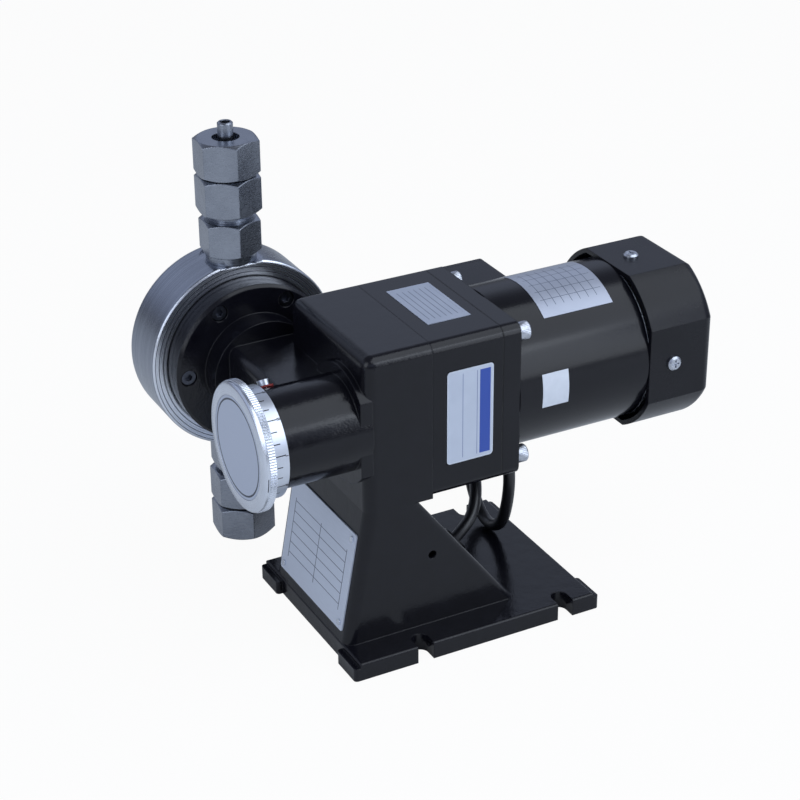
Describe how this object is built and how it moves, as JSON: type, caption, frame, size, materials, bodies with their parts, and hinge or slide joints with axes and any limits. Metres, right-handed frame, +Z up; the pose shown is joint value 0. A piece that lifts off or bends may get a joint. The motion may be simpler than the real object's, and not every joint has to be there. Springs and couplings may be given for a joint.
{
  "type": "diaphragm metering pump",
  "caption": "Motor-driven diaphragm metering pump on a slotted cast foot, with a stroke knob, a stainless pump head and two ball valves.",
  "frame": {"origin": "middle of the four foot slots, on the underside of the foot", "axes": "+X along the motor towards its fan, +Y towards the pump head, +Z up"},
  "size_m": [0.2827, 0.174, 0.2645],
  "materials": {
    "black_casting": "gloss black enamel",
    "black_metal": "gloss black paint",
    "stainless": "turned",
    "steel": "machined",
    "bright_alloy": "satin",
    "label": "satin",
    "black_plastic": "satin",
    "cord_black": "satin",
    "copper": "varnished",
    "bronze": "machined",
    "membrane": "matte",
    "red": "matte"
  },
  "bodies": {
    "stand": {"cable_gland": "black_plastic", "case_side_label": "label", "case_top_label": "label", "cluster_pin": "steel", "cord_grommet": "cord_black", "cover_screws": "steel", "crank_bearings": "steel", "diaphragm": "membrane", "discharge_body": "stainless", "discharge_fitting": "stainless", "discharge_nipple": "stainless", "discharge_union_nut": "stainless", "end_bell": "bright_alloy", "fan_cover": "black_plastic", "flange_bolts": "steel", "gear_case": "black_metal", "head_screws": "steel", "lock_screw": "steel", "lock_washer": "red", "motor_bearings": "steel", "motor_cord": "cord_black", "motor_flange": "black_metal", "motor_rating_plate": "bright_alloy", "motor_shell": "black_metal", "motor_sticker": "label", "nameplate": "bright_alloy", "nameplate_rivets": "bright_alloy", "output_bearings": "steel", "pump_casting": "black_casting", "pump_head": "stainless", "return_spring": "steel", "rod_bush": "bronze", "stator_core": "steel", "stator_windings": "copper", "stroke_scale": "bright_alloy", "suction_body": "stainless", "suction_fitting": "stainless", "suction_nipple": "stainless", "suction_union_nut": "stainless", "terminal_box": "black_plastic", "terminal_lid": "black_plastic", "valve_cages": "stainless", "valve_seats": "stainless"},
    "knob": {"stroke_knob": "bright_alloy", "knob_disc": "bright_alloy", "adjusting_screw": "steel"},
    "nut": {"adjusting_nut": "bronze", "thrust_bearing": "steel"},
    "output": {"output_shaft": "steel", "output_wheel": "steel", "crank_carrier": "steel"},
    "slide_rod": {"slide_rod": "steel"},
    "cam": {"cam_block": "steel", "cam_bearing": "steel"},
    "push_rod": {"push_rod": "steel"},
    "rotor": {"rotor": "steel", "fan": "black_plastic"},
    "cluster": {"cluster_gear": "steel"},
    "discharge_ball": {"discharge_ball": "stainless"},
    "suction_ball": {"suction_ball": "stainless"}
  },
  "joints": [
    {"name": "knob_turn", "type": "hinge", "parent": "stand", "child": "knob", "pos_m": [-0.126, -0.017, 0.133], "axis": [-1, 0, 0], "range_deg": [0, 1440]},
    {"name": "nut_travel", "type": "slide", "parent": "stand", "child": "nut", "axis": [1, 0, 0], "range_m": [0, 0.005]},
    {"name": "rotor_spin", "type": "hinge", "parent": "stand", "child": "rotor", "pos_m": [0.06, 0.003, 0.133], "axis": [1, 0, 0], "continuous": true},
    {"name": "cluster_spin", "type": "hinge", "parent": "stand", "child": "cluster", "pos_m": [-0.01, -0.00329, 0.15366], "axis": [1, 0, 0], "continuous": true},
    {"name": "output_spin", "type": "hinge", "parent": "stand", "child": "output", "pos_m": [-0.03, -0.017, 0.133], "axis": [1, 0, 0], "continuous": true},
    {"name": "slide_rod_travel", "type": "slide", "parent": "output", "child": "slide_rod", "axis": [1, 0, 0], "range_m": [0, 0.005]},
    {"name": "cam_throw", "type": "slide", "parent": "output", "child": "cam", "axis": [0, 1, 0], "range_m": [0, 0.0025]},
    {"name": "push_rod_stroke", "type": "slide", "parent": "stand", "child": "push_rod", "axis": [0, 1, 0], "range_m": [0, 0.0025], "deforming": ["return_spring", "diaphragm"]},
    {"name": "discharge_ball_lift", "type": "slide", "parent": "stand", "child": "discharge_ball", "axis": [0, 0, 1], "range_m": [0, 0.002]},
    {"name": "suction_ball_lift", "type": "slide", "parent": "stand", "child": "suction_ball", "axis": [0, 0, 1], "range_m": [0, 0.002]}
  ],
  "couplings": [
    {"joint": "nut_travel", "follows": "knob_turn", "m_per_rad": 0.00019894},
    {"joint": "slide_rod_travel", "follows": "knob_turn", "m_per_rad": 0.00019894},
    {"joint": "cam_throw", "follows": "knob_turn", "m_per_rad": 0.000099472},
    {"joint": "push_rod_stroke", "follows": "knob_turn", "m_per_rad": 0.000099472},
    {"joint": "cluster_spin", "follows": "rotor_spin", "ratio": -0.28571},
    {"joint": "output_spin", "follows": "rotor_spin", "ratio": 0.083333}
  ]
}
